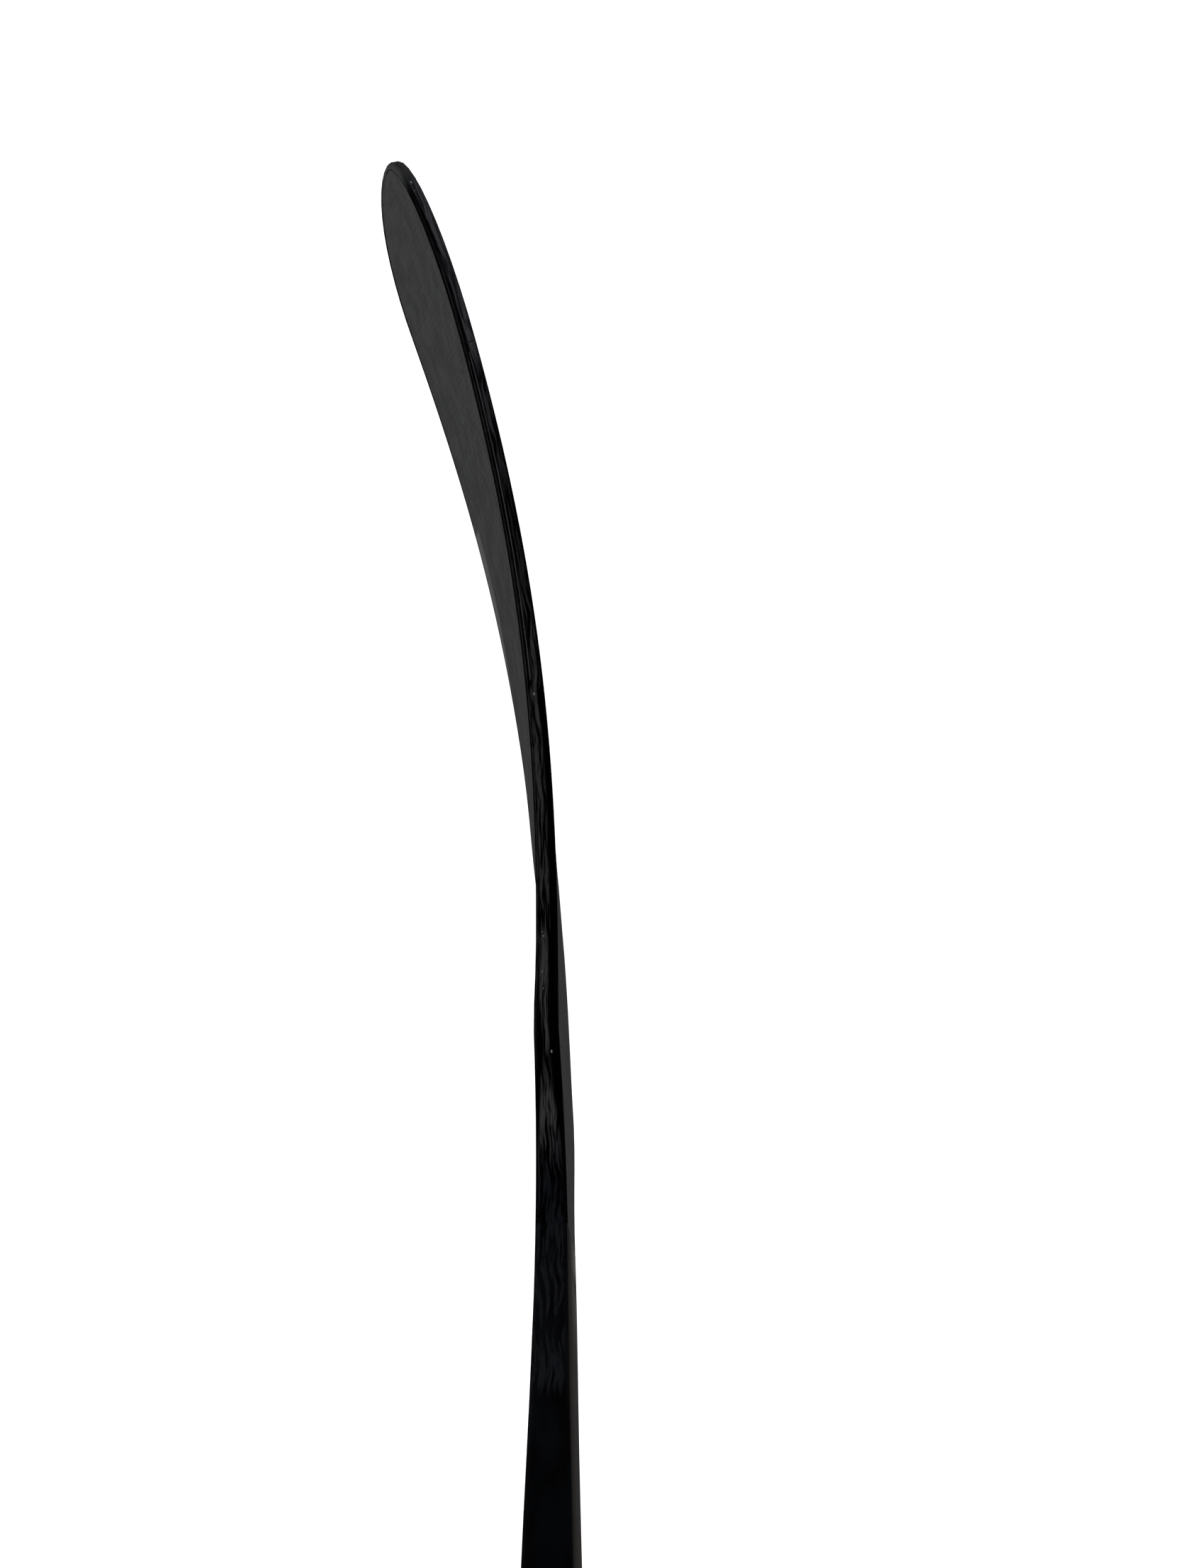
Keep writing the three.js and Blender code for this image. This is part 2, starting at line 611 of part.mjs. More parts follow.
const flangeRound = between(0, Math.PI / 2, CORNER_STEPS).map((angle) =>
  plugStation(
    STICK_LENGTH - PLUG_ROUNDING * (1 - Math.cos(angle)),
    PLUG_ROUNDING * (1 - Math.sin(angle)),
    SHAFT_CORNER - PLUG_ROUNDING * (1 - Math.sin(angle)),
  ),
);
const spigotInset = SHAFT_WALL + GAP;
const cupInset = spigotInset + PLUG_WALL;
const flangeBase = STICK_LENGTH - PLUG_FLANGE;
const plugStations = [
  ...flangeRound,
  plugStation(flangeBase, 0, SHAFT_CORNER),
  plugStation(flangeBase, spigotInset, SHAFT_CORNER - spigotInset),
  plugStation(flangeBase - PLUG_DEPTH, spigotInset, SHAFT_CORNER - spigotInset),
  plugStation(flangeBase - PLUG_DEPTH, cupInset, LEAST_CORNER),
  plugStation(STICK_LENGTH - PLUG_FLOOR, cupInset, LEAST_CORNER),
];
add("butt_plug", ringPiece(solidSection, plugStations), plastic);

// ---- The whole stick, with its origin at the centre of the top hand's grip ----

const grip = onShaft(STICK_LENGTH - GRIP_FROM_BUTT, 0);
stick.position.set(-grip.x, 0, -grip.y);
const model = new THREE.Group();
model.add(stick);

export default model;
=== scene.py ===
import bmesh
import bpy
import math
import numpy as np
from mathutils import Matrix, Vector


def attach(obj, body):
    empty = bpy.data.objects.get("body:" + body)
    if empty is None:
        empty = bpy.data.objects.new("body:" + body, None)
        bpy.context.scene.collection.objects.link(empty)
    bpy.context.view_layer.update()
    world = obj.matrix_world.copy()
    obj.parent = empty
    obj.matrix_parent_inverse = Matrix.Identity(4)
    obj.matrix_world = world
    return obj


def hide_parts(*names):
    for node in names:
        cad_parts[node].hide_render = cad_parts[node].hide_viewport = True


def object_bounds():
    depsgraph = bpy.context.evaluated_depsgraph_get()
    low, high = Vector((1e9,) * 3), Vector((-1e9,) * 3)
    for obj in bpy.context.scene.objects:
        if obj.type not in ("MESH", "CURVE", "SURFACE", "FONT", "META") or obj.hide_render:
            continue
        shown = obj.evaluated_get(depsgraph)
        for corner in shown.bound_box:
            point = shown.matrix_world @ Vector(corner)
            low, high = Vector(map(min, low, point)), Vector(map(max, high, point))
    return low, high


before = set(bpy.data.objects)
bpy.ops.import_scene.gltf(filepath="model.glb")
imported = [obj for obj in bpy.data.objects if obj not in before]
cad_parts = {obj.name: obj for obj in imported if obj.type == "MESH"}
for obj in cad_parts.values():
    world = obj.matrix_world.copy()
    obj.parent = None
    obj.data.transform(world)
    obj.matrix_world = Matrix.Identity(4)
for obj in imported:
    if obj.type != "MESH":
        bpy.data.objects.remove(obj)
cad_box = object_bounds()

# ---- Blade faces ----
# Two carbon laminate skins, pressed over the foam core in a closed mould and left matt.
# They wrap the whole wide side of the blade and run on up the hosel to the shaft joint.

GRIP_TO_HEEL = 1.430
LIE = math.radians(47)
BLADE_LENGTH = 0.312
BLADE_TURN = math.radians(15.8)
EARLY_TURN = 0.19
FACE_OPENING = math.radians(23.3)
OPENING_POWER = 0.936
THROAT = 0.0253
STATION = 0.004
PLACES = 400
FLAT_FACES = math.radians(4)
SQUARE_FACES = math.radians(30)
SHARP_EDGE = math.radians(40)
SAME_POINT = 1e-6

heel = Vector((GRIP_TO_HEEL * math.cos(LIE), 0, -GRIP_TO_HEEL * math.sin(LIE)))

share = np.linspace(0, 1, PLACES)
turn = BLADE_TURN * ((1 - np.cos(np.pi * share)) / 2 + EARLY_TURN * np.sin(np.pi * share) / 2)
step = BLADE_LENGTH / (PLACES - 1)
middle_x = np.concatenate([[0], np.cumsum(np.cos((turn[1:] + turn[:-1]) / 2) * step)])
middle_y = np.concatenate([[0], np.cumsum(np.sin((turn[1:] + turn[:-1]) / 2) * step)])


def place_on_blank(point):
    """Along the sole from the heel, across to the forehand and up, on the straight flat blank."""
    x, y, z = point - heel
    past = (x - middle_x) * np.cos(turn) + (y - middle_y) * np.sin(turn)
    at = int(np.argmin(np.abs(past)))
    along = share[at] * BLADE_LENGTH + past[at]
    across = -(x - middle_x[at]) * math.sin(turn[at]) + (y - middle_y[at]) * math.cos(turn[at])
    opened = FACE_OPENING * share[at] ** OPENING_POWER
    w = across * math.cos(opened) + z * math.sin(opened)
    h = z * math.cos(opened) - across * math.sin(opened)
    return along, w, h


def up_stick(along, h):
    """Distance up the shaft from the heel, carried on down the blade's top edge."""
    if along > THROAT:
        return 2 * THROAT - along
    return h * math.sin(LIE) - along * math.cos(LIE)


def over_stick(along, h):
    """Distance from the shaft's middle towards its inner side."""
    return h * math.cos(LIE) + along * math.sin(LIE)


def finished_copy(solid, name, is_edge=False):
    """A merged, smoothly shaded copy of a CAD solid that knows its places on the stick."""
    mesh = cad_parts[solid].data.copy()
    mesh.name = name
    bm = bmesh.new()
    bm.from_mesh(mesh)
    bmesh.ops.remove_doubles(bm, verts=bm.verts, dist=SAME_POINT)
    bmesh.ops.join_triangles(bm, faces=bm.faces, angle_face_threshold=FLAT_FACES,
                             angle_shape_threshold=SQUARE_FACES)
    blank = np.array([place_on_blank(vertex.co) for vertex in bm.verts])
    up = np.array([up_stick(along, h) for along, w, h in blank])
    on_stick = bm.verts.layers.float_vector.new("on_stick")
    on_blade = bm.verts.layers.float_vector.new("on_blade")
    for vertex, (along, w, h), q in zip(bm.verts, blank, up):
        beside = np.abs(blank[:, 1][np.abs(up - q) < STATION]).max()
        vertex[on_stick] = (q, w, 0 if is_edge else over_stick(along, h))
        vertex[on_blade] = (along, w / beside, h)
    for face in bm.faces:
        face.smooth = True
    for edge in bm.edges:
        edge.smooth = edge.calc_face_angle(0) < SHARP_EDGE
    bm.to_mesh(mesh)
    bm.free()
    mesh.materials.clear()
    piece = bpy.data.objects.new(name, mesh)
    bpy.context.scene.collection.objects.link(piece)
    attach(piece, "root")
    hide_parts(solid)
    return piece


def start_material(name):
    """A new material, its node tree and its shader."""
    material = bpy.data.materials.new(name)
    material.use_nodes = True
    tree = material.node_tree
    return material, tree, tree.nodes["Principled BSDF"]


def node(tree, kind, **settings):
    """A new node in a tree, with some of its settings."""
    made = tree.nodes.new(kind)
    for key, value in settings.items():
        setattr(made, key, value)
    return made


def start_group(name, inputs, outputs):
    """A shader node group: inputs is {name: (socket type, default)}."""
    group = bpy.data.node_groups.new(name, "ShaderNodeTree")
    for label, (kind, default) in inputs.items():
        socket = group.interface.new_socket(label, in_out="INPUT", socket_type=kind)
        if default is not None:
            socket.default_value = default
    for label, kind in outputs.items():
        group.interface.new_socket(label, in_out="OUTPUT", socket_type=kind)
    return group, group.nodes.new("NodeGroupInput"), group.nodes.new("NodeGroupOutput")


def add_group(tree, group, source, **values):
    """A node group placed in a tree: source feeds its Place, and values its other inputs."""
    made = tree.nodes.new("ShaderNodeGroup")
    made.node_tree = group
    tree.links.new(source, made.inputs["Place"])
    for key, value in values.items():
        made.inputs[key.title()].default_value = value
    return made


def math_node(tree, operation, first, second=None, third=None):
    """A sum on numbers or other nodes' outputs."""
    made = node(tree, "ShaderNodeMath", operation=operation)
    for socket, value in zip(made.inputs, (first, second, third)):
        if value is None:
            continue
        if isinstance(value, (int, float)):
            socket.default_value = value
        else:
            tree.links.new(value, socket)
    return made.outputs[0]


def between(tree, value, low, high, low_out=0.0, high_out=1.0):
    """A smooth rise of a value between two places."""
    made = node(tree, "ShaderNodeMapRange", interpolation_type="SMOOTHSTEP")
    tree.links.new(value, made.inputs["Value"])
    made.inputs["From Min"].default_value = low
    made.inputs["From Max"].default_value = high
    made.inputs["To Min"].default_value = low_out
    made.inputs["To Max"].default_value = high_out
    return made.outputs["Result"]


def mixed(tree, mask, first, second):
    """A colour that goes from the first to the second as the mask rises."""
    made = node(tree, "ShaderNodeMix", data_type="RGBA")
    tree.links.new(mask, made.inputs[0])
    for socket, value in ((made.inputs[6], first), (made.inputs[7], second)):
        if isinstance(value, tuple):
            socket.default_value = (*value, 1)
        else:
            tree.links.new(value, socket)
    return made.outputs[2]


def attribute(tree, name):
    """A place stored on the mesh, whole and as its three parts."""
    read = node(tree, "ShaderNodeAttribute", attribute_name=name)
    split = node(tree, "ShaderNodeSeparateXYZ")
    tree.links.new(read.outputs["Vector"], split.inputs[0])
    return read.outputs["Vector"], split.outputs


def bump_into(tree, shader, height, strength, distance):
    """Fine relief from a height that changes over the surface."""
    bump = node(tree, "ShaderNodeBump")
    bump.inputs["Strength"].default_value = strength
    bump.inputs["Distance"].default_value = distance
    tree.links.new(height, bump.inputs["Height"])
    tree.links.new(bump.outputs["Normal"], shader.inputs["Normal"])


# Resin mottle: cloudy patches that run a given distance along the stick and across it.
mottle, mottle_in, mottle_out = start_group(
    "Resin Mottle",
    {"Place": ("NodeSocketVector", None),
     "Along": ("NodeSocketFloat", 0.01),
     "Across": ("NodeSocketFloat", 0.01),
     "Fineness": ("NodeSocketFloat", 3.0)},
    {"Mask": "NodeSocketFloat"})
split_place = node(mottle, "ShaderNodeSeparateXYZ")
mottle.links.new(mottle_in.outputs["Place"], split_place.inputs[0])
stretched = node(mottle, "ShaderNodeCombineXYZ")
for axis, size in (("X", "Along"), ("Y", "Across"), ("Z", "Across")):
    scaled = math_node(mottle, "DIVIDE", split_place.outputs[axis], mottle_in.outputs[size])
    mottle.links.new(scaled, stretched.inputs[axis])
cloud = node(mottle, "ShaderNodeTexNoise")
cloud.inputs["Scale"].default_value = 1
mottle.links.new(stretched.outputs[0], cloud.inputs["Vector"])
mottle.links.new(mottle_in.outputs["Fineness"], cloud.inputs["Detail"])
mottle.links.new(between(mottle, cloud.outputs["Fac"], 0.3, 0.7), mottle_out.inputs["Mask"])

# Carbon weave: two crossing sets of tows, seen as a fine even texture through the resin.
weave, weave_in, weave_out = start_group(
    "Carbon Weave",
    {"Place": ("NodeSocketVector", None), "Tow": ("NodeSocketFloat", 0.002)},
    {"Mask": "NodeSocketFloat"})
split_weave = node(weave, "ShaderNodeSeparateXYZ")
weave.links.new(weave_in.outputs["Place"], split_weave.inputs[0])
tows = []
for sign in (1, -1):
    slant = math_node(weave, "MULTIPLY_ADD", split_weave.outputs["Z"], sign, split_weave.outputs["X"])
    turns = math_node(weave, "DIVIDE", slant, weave_in.outputs["Tow"])
    tows.append(math_node(weave, "SINE", math_node(weave, "MULTIPLY", turns, math.pi)))
crossed = math_node(weave, "MULTIPLY", tows[0], tows[1])
weave.links.new(math_node(weave, "MULTIPLY_ADD", crossed, 0.5, 0.5), weave_out.inputs["Mask"])

FACE_GREY = (0.0320, 0.0334, 0.0322)
FACE_LIGHTER = (0.0430, 0.0446, 0.0436)
# Pale grey of a painted highlight along the forehand's lower edge, where its rounded corner catches the
# light.
RIM_HIGHLIGHT_GREY = (0.078, 0.080, 0.079)
RIM_HIGHLIGHT_FROM = 0.181
RIM_HIGHLIGHT_TO = 0.102
RIM_HIGHLIGHT_FULL = 0.150
RIM_HIGHLIGHT_HEIGHT = 0.0105
RIM_HIGHLIGHT_THIN = 0.0005
RIM_HIGHLIGHT_SUDDEN = 0.0015
RIM_HIGHLIGHT_RAGGED = 0.0016
TOW = 0.0024
RIB_PITCH = 0.0010
RIBS_START = (0.040, 0.048)
RIBS_END = (0.066, 0.060)


def painted_rim_highlight(tree, blade_axes, patches):
    """Painted highlight: a pale band along the forehand's lower edge, where its rounded corner catches
    the light, fading to the heel.
    """
    along = between(tree, blade_axes["X"], RIM_HIGHLIGHT_FROM, RIM_HIGHLIGHT_FROM - RIM_HIGHLIGHT_SUDDEN)
    reach = between(tree, blade_axes["X"], RIM_HIGHLIGHT_TO, RIM_HIGHLIGHT_FULL, RIM_HIGHLIGHT_THIN, RIM_HIGHLIGHT_HEIGHT)
    ragged = math_node(tree, "MULTIPLY_ADD", patches, RIM_HIGHLIGHT_RAGGED, blade_axes["Z"])
    inside = math_node(tree, "DIVIDE", ragged, reach)
    forehand = between(tree, blade_axes["Y"], 0.5, 0.7)
    low = math_node(tree, "MULTIPLY", between(tree, inside, 1.15, 0.85), forehand)
    return math_node(tree, "MULTIPLY", low, along)


def face_material(name, ribbed):
    """Matt laminate; the backhand keeps fine press marks across the hosel."""
    made, tree, shader = start_material(name)
    _, axes = attribute(tree, "on_stick")
    blade_place, blade_axes = attribute(tree, "on_blade")
    patches = add_group(tree, mottle, blade_place, along=0.012, across=0.006, fineness=4.0)
    fibres = add_group(tree, weave, blade_place, tow=TOW)
    tone = math_node(tree, "MULTIPLY_ADD", fibres.outputs[0], 0.35, math_node(
        tree, "MULTIPLY", patches.outputs[0], 0.65))
    if ribbed:
        ribs = math_node(tree, "SINE", math_node(
            tree, "MULTIPLY", axes["X"], 2 * math.pi / RIB_PITCH))
        pressed = math_node(tree, "MULTIPLY", between(tree, axes["X"], *RIBS_START),
                            between(tree, axes["X"], *RIBS_END))
        tone = math_node(tree, "MULTIPLY_ADD", math_node(
            tree, "MULTIPLY", ribs, pressed), 0.9, tone)
    colour = mixed(tree, tone, FACE_GREY, FACE_LIGHTER)
    if not ribbed:
        # Painted highlight along the forehand's lower edge.
        rim_highlight = painted_rim_highlight(tree, blade_axes, patches.outputs[0])
        colour = mixed(tree, rim_highlight, colour, RIM_HIGHLIGHT_GREY)
    tree.links.new(colour, shader.inputs["Base Color"])
    tree.links.new(between(tree, tone, 0, 1, 0.55, 0.70), shader.inputs["Roughness"])
    shader.inputs["Specular IOR Level"].default_value = 0.15
    bump_into(tree, shader, tone, 0.25, 0.00006)
    return made


for skin, ribbed in (("forehand_skin", False), ("backhand_skin", True)):
    name = skin.replace("skin", "face")
    face = finished_copy(skin, name)
    face.data.materials.append(face_material("matt_carbon_" + name, ribbed))

# ---- Blade edges ----
# Bands of braid and resin round the rim of the blade, where the two mould halves meet.
# Their rounded outer corners are buffed glossy; resin runs in long streaks along them.

RESIN_BLACK = (0.0004, 0.0004, 0.0007)
TOE_BASE = (0.022, 0.022, 0.026)
TOE_STREAK = (0.085, 0.084, 0.096)
MIDDLE_STREAK = (0.017, 0.017, 0.018)
HEEL_STREAK_AND_REFLECTION = (0.050, 0.051, 0.051)
HOSEL_STREAK = (0.062, 0.062, 0.065)
JOINT_STREAK = (0.0085, 0.0095, 0.0125)
# Pale of the chips, also used for the painted glint.
CHIP_AND_GLINT_PALE = (0.30, 0.31, 0.31)

# Where along the stick one look gives way to the next; the streak colours also set the strength of their
# painted light, and the paler heel stretch is a painted reflection of the heel's bend.
STREAK_CHANGES = ((-0.220, -0.115, MIDDLE_STREAK), (-0.112, -0.066, HEEL_STREAK_AND_REFLECTION),
                  (0.000, 0.060, HOSEL_STREAK), (0.070, 0.105, JOINT_STREAK))
RIDGE_STOPS = (-0.064, -0.058)
HOSEL_STARTS = (0.010, 0.060)
JOINT_NEARS = (0.055, 0.100)
TOE_SCRAPED = (-0.15, -0.23)
TIP_ALONG = (0.292, 0.306)
TIP_HEIGHT = (0.052, 0.044)

# The streaks' painted shade margins, in shares of the band's half width: painted shade towards the
# backhand and beside the face.
BACKHAND_SHADE = -0.80
HEEL_SHADE_MORE = 0.38
HOSEL_SHADE_MORE = 0.06
JOINT_SHADE_LESS = -0.59
FACE_SIDE_SHADE = (0.76, 0.54)
HOSEL_FACE_SIDE_SHADE_MORE = 0.18
JOINT_FACE_SIDE_SHADE_LESS = -0.38
RIDGE_SHADE = (0.25, 0.80)

# Resin runs: long thin streaks along an edge, painted lit on one side and fading into painted shade
# towards the backhand.
runs, runs_in, runs_out = start_group(
    "Resin Runs With Painted Light",
    {"Place": ("NodeSocketVector", None),
     "Across Share": ("NodeSocketFloat", 0.0),
     "Lit From": ("NodeSocketFloat", -0.45),
     "Width": ("NodeSocketFloat", 0.001)},
    {"Mask": "NodeSocketFloat"})
wander = node(runs, "ShaderNodeTexNoise")
wander.inputs["Scale"].default_value = 55
wander.inputs["Detail"].default_value = 1
runs.links.new(runs_in.outputs["Place"], wander.inputs["Vector"])
split_runs = node(runs, "ShaderNodeSeparateXYZ")
runs.links.new(runs_in.outputs["Place"], split_runs.inputs[0])
bent = math_node(runs, "MULTIPLY_ADD", wander.outputs["Fac"], 0.004, split_runs.outputs["Y"])
run_place = node(runs, "ShaderNodeCombineXYZ")
runs.links.new(split_runs.outputs["X"], run_place.inputs["X"])
runs.links.new(bent, run_place.inputs["Y"])
wide_runs = add_group(runs, mottle, run_place.outputs[0], along=0.022, fineness=2.0)
runs.links.new(runs_in.outputs["Width"], wide_runs.inputs["Across"])
fine_width = math_node(runs, "MULTIPLY", runs_in.outputs["Width"], 0.35)
fine_runs = add_group(runs, mottle, run_place.outputs[0], along=0.006, fineness=3.0)
runs.links.new(fine_width, fine_runs.inputs["Across"])
fine_part = math_node(runs, "MULTIPLY_ADD", fine_runs.outputs[0], 0.65, 0.35)
both_runs = between(runs, math_node(
    runs, "MULTIPLY", wide_runs.outputs[0], fine_part), 0.12, 0.62)
lit_low = math_node(runs, "ADD", runs_in.outputs["Lit From"], 0.35)
lit_side = node(runs, "ShaderNodeMapRange", interpolation_type="SMOOTHSTEP")
runs.links.new(runs_in.outputs["Across Share"], lit_side.inputs["Value"])
runs.links.new(runs_in.outputs["Lit From"], lit_side.inputs["From Min"])
runs.links.new(lit_low, lit_side.inputs["From Max"])
lit_runs = math_node(runs, "MULTIPLY", both_runs, lit_side.outputs["Result"])
runs.links.new(lit_runs, runs_out.inputs["Mask"])

# Chips and a glint: small bright spots, each at its own place on the stick; the chips are nicks knocked
# out of the resin, the glint is a painted highlight.
chip_and_glint_spot, spot_in, spot_out = start_group(
    "Chip And Glint Spot",
    {"Place": ("NodeSocketVector", None),
     "Along": ("NodeSocketFloat", 0.0),
     "Across": ("NodeSocketFloat", 0.0),
     "Size": ("NodeSocketFloat", 0.0005)},
    {"Mask": "NodeSocketFloat"})
split_spot = node(chip_and_glint_spot, "ShaderNodeSeparateXYZ")
chip_and_glint_spot.links.new(spot_in.outputs["Place"], split_spot.inputs[0])
away = []
for axis, centre, stretch in (("X", "Along", 0.55), ("Y", "Across", 1.0)):
    offset = math_node(chip_and_glint_spot, "SUBTRACT", split_spot.outputs[axis], spot_in.outputs[centre])
    away.append(math_node(chip_and_glint_spot, "POWER", math_node(chip_and_glint_spot, "ABSOLUTE", math_node(
        chip_and_glint_spot, "MULTIPLY", offset, stretch)), 2))
distance = math_node(chip_and_glint_spot, "SQRT", math_node(chip_and_glint_spot, "ADD", away[0], away[1]))
near = math_node(chip_and_glint_spot, "DIVIDE", distance, spot_in.outputs["Size"])
chip_and_glint_spot.links.new(between(chip_and_glint_spot, near, 1.0, 0.6), spot_out.inputs["Mask"])

# Each chip's place up the stick, its place across and its size; the fourth entry, at -0.0590, is no chip
# but a painted glint where the parting ridge ends.
CHIPS_AND_GLINT = ((0.0560, -0.00160, 0.00032), (0.0236, 0.00110, 0.00022), (0.0220, 0.00150, 0.00016),
         (-0.0590, 0.00060, 0.00030), (0.0330, 0.00150, 0.00014), (0.0375, 0.00090, 0.00012),
         (-0.2480, 0.00050, 0.00034), (-0.2440, 0.00090, 0.00024))


def edge_material(name, chips_and_glint, with_sole_highlight):
    """Glossy black resin with streaks and a few chips; the streaks carry painted light and shade across
    the band, one spot is a painted glint, and a painted highlight pales one stretch of the sole.
    """
    made, tree, shader = start_material(name)
    place, axes = attribute(tree, "on_stick")
    _, blade_axes = attribute(tree, "on_blade")
    lit_streaks = add_group(tree, runs, place, width=0.0011)
    tree.links.new(blade_axes["Y"], lit_streaks.inputs["Across Share"])
    beyond_ridge = between(tree, axes["X"], *RIDGE_STOPS)
    up_hosel = between(tree, axes["X"], *HOSEL_STARTS)
    near_joint = between(tree, axes["X"], *JOINT_NEARS)
    # Painted light: the streaks show lit towards the forehand and fade into painted shade towards the
    # backhand, by a different amount in each stretch.
    lit_from = math_node(tree, "MULTIPLY_ADD", beyond_ridge, HEEL_SHADE_MORE, BACKHAND_SHADE)
    lit_from = math_node(tree, "MULTIPLY_ADD", up_hosel, HOSEL_SHADE_MORE, lit_from)
    lit_from = math_node(tree, "MULTIPLY_ADD", near_joint, JOINT_SHADE_LESS, lit_from)
    tree.links.new(lit_from, lit_streaks.inputs["Lit From"])
    # Painted shade: the streaks dim beside the face and along the ridge, where the band's corner is in
    # shade.
    near_ridge = between(tree, beyond_ridge, 0, 1, *RIDGE_SHADE)
    past_ridge = math_node(tree, "SUBTRACT", blade_axes["Y"], near_ridge)
    beside_face = between(tree, past_ridge, 0.20, -0.10, 0.12, 1.0)
    mask = math_node(tree, "MULTIPLY", lit_streaks.outputs[0], beside_face)
    off_face = math_node(tree, "MULTIPLY_ADD", up_hosel, HOSEL_FACE_SIDE_SHADE_MORE, blade_axes["Y"])
    off_face = math_node(tree, "MULTIPLY_ADD", near_joint, JOINT_FACE_SIDE_SHADE_LESS, off_face)
    mask = math_node(tree, "MULTIPLY", mask, between(tree, off_face, *FACE_SIDE_SHADE))
    streak_colour = TOE_STREAK
    for low, high, next_colour in STREAK_CHANGES:
        streak_colour = mixed(tree, between(tree, axes["X"], low, high), streak_colour, next_colour)
    scraped = between(tree, axes["X"], *TOE_SCRAPED, 0, 0.9)
    scraped = math_node(tree, "MULTIPLY", scraped, between(tree, past_ridge, 0.15, -0.05))
    base = mixed(tree, scraped, RESIN_BLACK, TOE_BASE)
    colour = mixed(tree, mask, base, streak_colour)
    face_side = math_node(tree, "MULTIPLY", between(tree, blade_axes["X"], *TIP_ALONG),
                          between(tree, blade_axes["Z"], *TIP_HEIGHT))
    colour = mixed(tree, face_side, colour, FACE_LIGHTER)
    # One of these spots is a painted glint where the parting ridge ends; the rest are chips.
    for along, across, size in chips_and_glint:
        spot = add_group(tree, chip_and_glint_spot, place, along=along, across=across, size=size)
        colour = mixed(tree, spot.outputs[0], colour, CHIP_AND_GLINT_PALE)
    if with_sole_highlight:
        # Painted highlight along one stretch of the sole's forehand corner.
        rim_highlight = painted_rim_highlight(tree, blade_axes, lit_streaks.outputs[0])
        colour = mixed(tree, rim_highlight, colour, RIM_HIGHLIGHT_GREY)
    tree.links.new(colour, shader.inputs["Base Color"])
    tree.links.new(between(tree, lit_streaks.outputs[0], 0, 1, 0.22, 0.42), shader.inputs["Roughness"])
    shader.inputs["Specular IOR Level"].default_value = 0.04
    bump_into(tree, shader, lit_streaks.outputs[0], 0.4, 0.00008)
    return made


edge_gloss = edge_material("glossy_carbon_edge", CHIPS_AND_GLINT, False)
sole_gloss = edge_material("sole_edge_with_painted_highlight", (), True)
edges = {}
for band, look in (("top_edge_band", edge_gloss), ("toe_edge_band", edge_gloss),
                   ("sole_edge_band", sole_gloss)):
    edges[band] = finished_copy(band, band.replace("_band", ""), is_edge=True)
    edges[band].data.materials.append(look)

# ---- Parting ridge ----
# A thin raised line of resin along the top edge, just in from its forehand corner, from the
# toe towards the heel. It squeezed out where the mould's halves met and was left standing.

RIDGE_RADIUS = 0.00024
RIDGE_END = 0.111
RIDGE_SHARE = 0.42
RIDGE_SIDES = 8
FLAT_SIDE = 0.68
LEAST_FLAT = 0.5
TOE_TIP_HEIGHT = 0.034

rows = {}
for band in ("top_edge_band", "toe_edge_band"):
    mesh = edges[band].data
    places = mesh.attributes["on_blade"].data
    for vertex, at in zip(mesh.vertices, places):
        along, side, h = at.vector
        if abs(side) < FLAT_SIDE and h > TOE_TIP_HEIGHT and along > RIDGE_END:
            rows.setdefault(round(along, 3), []).append((side, vertex.co.copy()))
path = []
for along in sorted(rows, reverse=True):
    backhand_end = min(rows[along], key=lambda found: found[0])
    forehand_end = max(rows[along], key=lambda found: found[0])
    width = forehand_end[0] - backhand_end[0]
    if width > LEAST_FLAT:
        reached = (RIDGE_SHARE - backhand_end[0]) / width
        path.append(backhand_end[1].lerp(forehand_end[1], reached))

ridge_mesh = bpy.data.meshes.new("parting_ridge")
bm = bmesh.new()
ring = bmesh.ops.create_circle(bm, segments=RIDGE_SIDES, radius=RIDGE_RADIUS)["verts"]
facing = (path[1] - path[0]).to_track_quat("Z", "Y").to_matrix().to_4x4()
bmesh.ops.transform(bm, matrix=Matrix.Translation(path[0]) @ facing, verts=ring)
loop = list({edge for vertex in ring for edge in vertex.link_edges})
start_loop = loop
for before, after in zip(path, path[1:]):
    grown = bmesh.ops.extrude_edge_only(bm, edges=loop)["geom"]
    moved = [part for part in grown if isinstance(part, bmesh.types.BMVert)]
    loop = [part for part in grown if isinstance(part, bmesh.types.BMEdge)]
    bmesh.ops.translate(bm, verts=moved, vec=after - before)
bmesh.ops.contextual_create(bm, geom=start_loop)
bmesh.ops.contextual_create(bm, geom=loop)
bmesh.ops.recalc_face_normals(bm, faces=bm.faces)
for face in bm.faces:
    face.smooth = len(face.verts) == 4
bm.to_mesh(ridge_mesh)
bm.free()
ridge = bpy.data.objects.new("parting_ridge", ridge_mesh)
bpy.context.scene.collection.objects.link(ridge)
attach(ridge, "root")

# The ridge is real, but its pale grey, far lighter than the black resin round it, is a painted highlight
# for the light its crest catches.
RIDGE_DARK = (0.020, 0.021, 0.025)
RIDGE_LIGHT = (0.050, 0.052, 0.060)

ridge_resin, tree, shader = start_material("ridge_resin")
coordinates = node(tree, "ShaderNodeTexCoord")
beads = add_group(tree, mottle, coordinates.outputs["Object"], along=0.009, across=0.009)
tree.links.new(mixed(tree, beads.outputs[0], RIDGE_DARK, RIDGE_LIGHT),
               shader.inputs["Base Color"])
tree.links.new(between(tree, beads.outputs[0], 0, 1, 0.25, 0.40), shader.inputs["Roughness"])
ridge_mesh.materials.append(ridge_resin)

# ---- Shaft joint ----
# A thin sleeve of prepreg wound over the fused joint between hosel and shaft tube.
# Its lower end is cut slanting, and its resin has run down in wavy streaks.

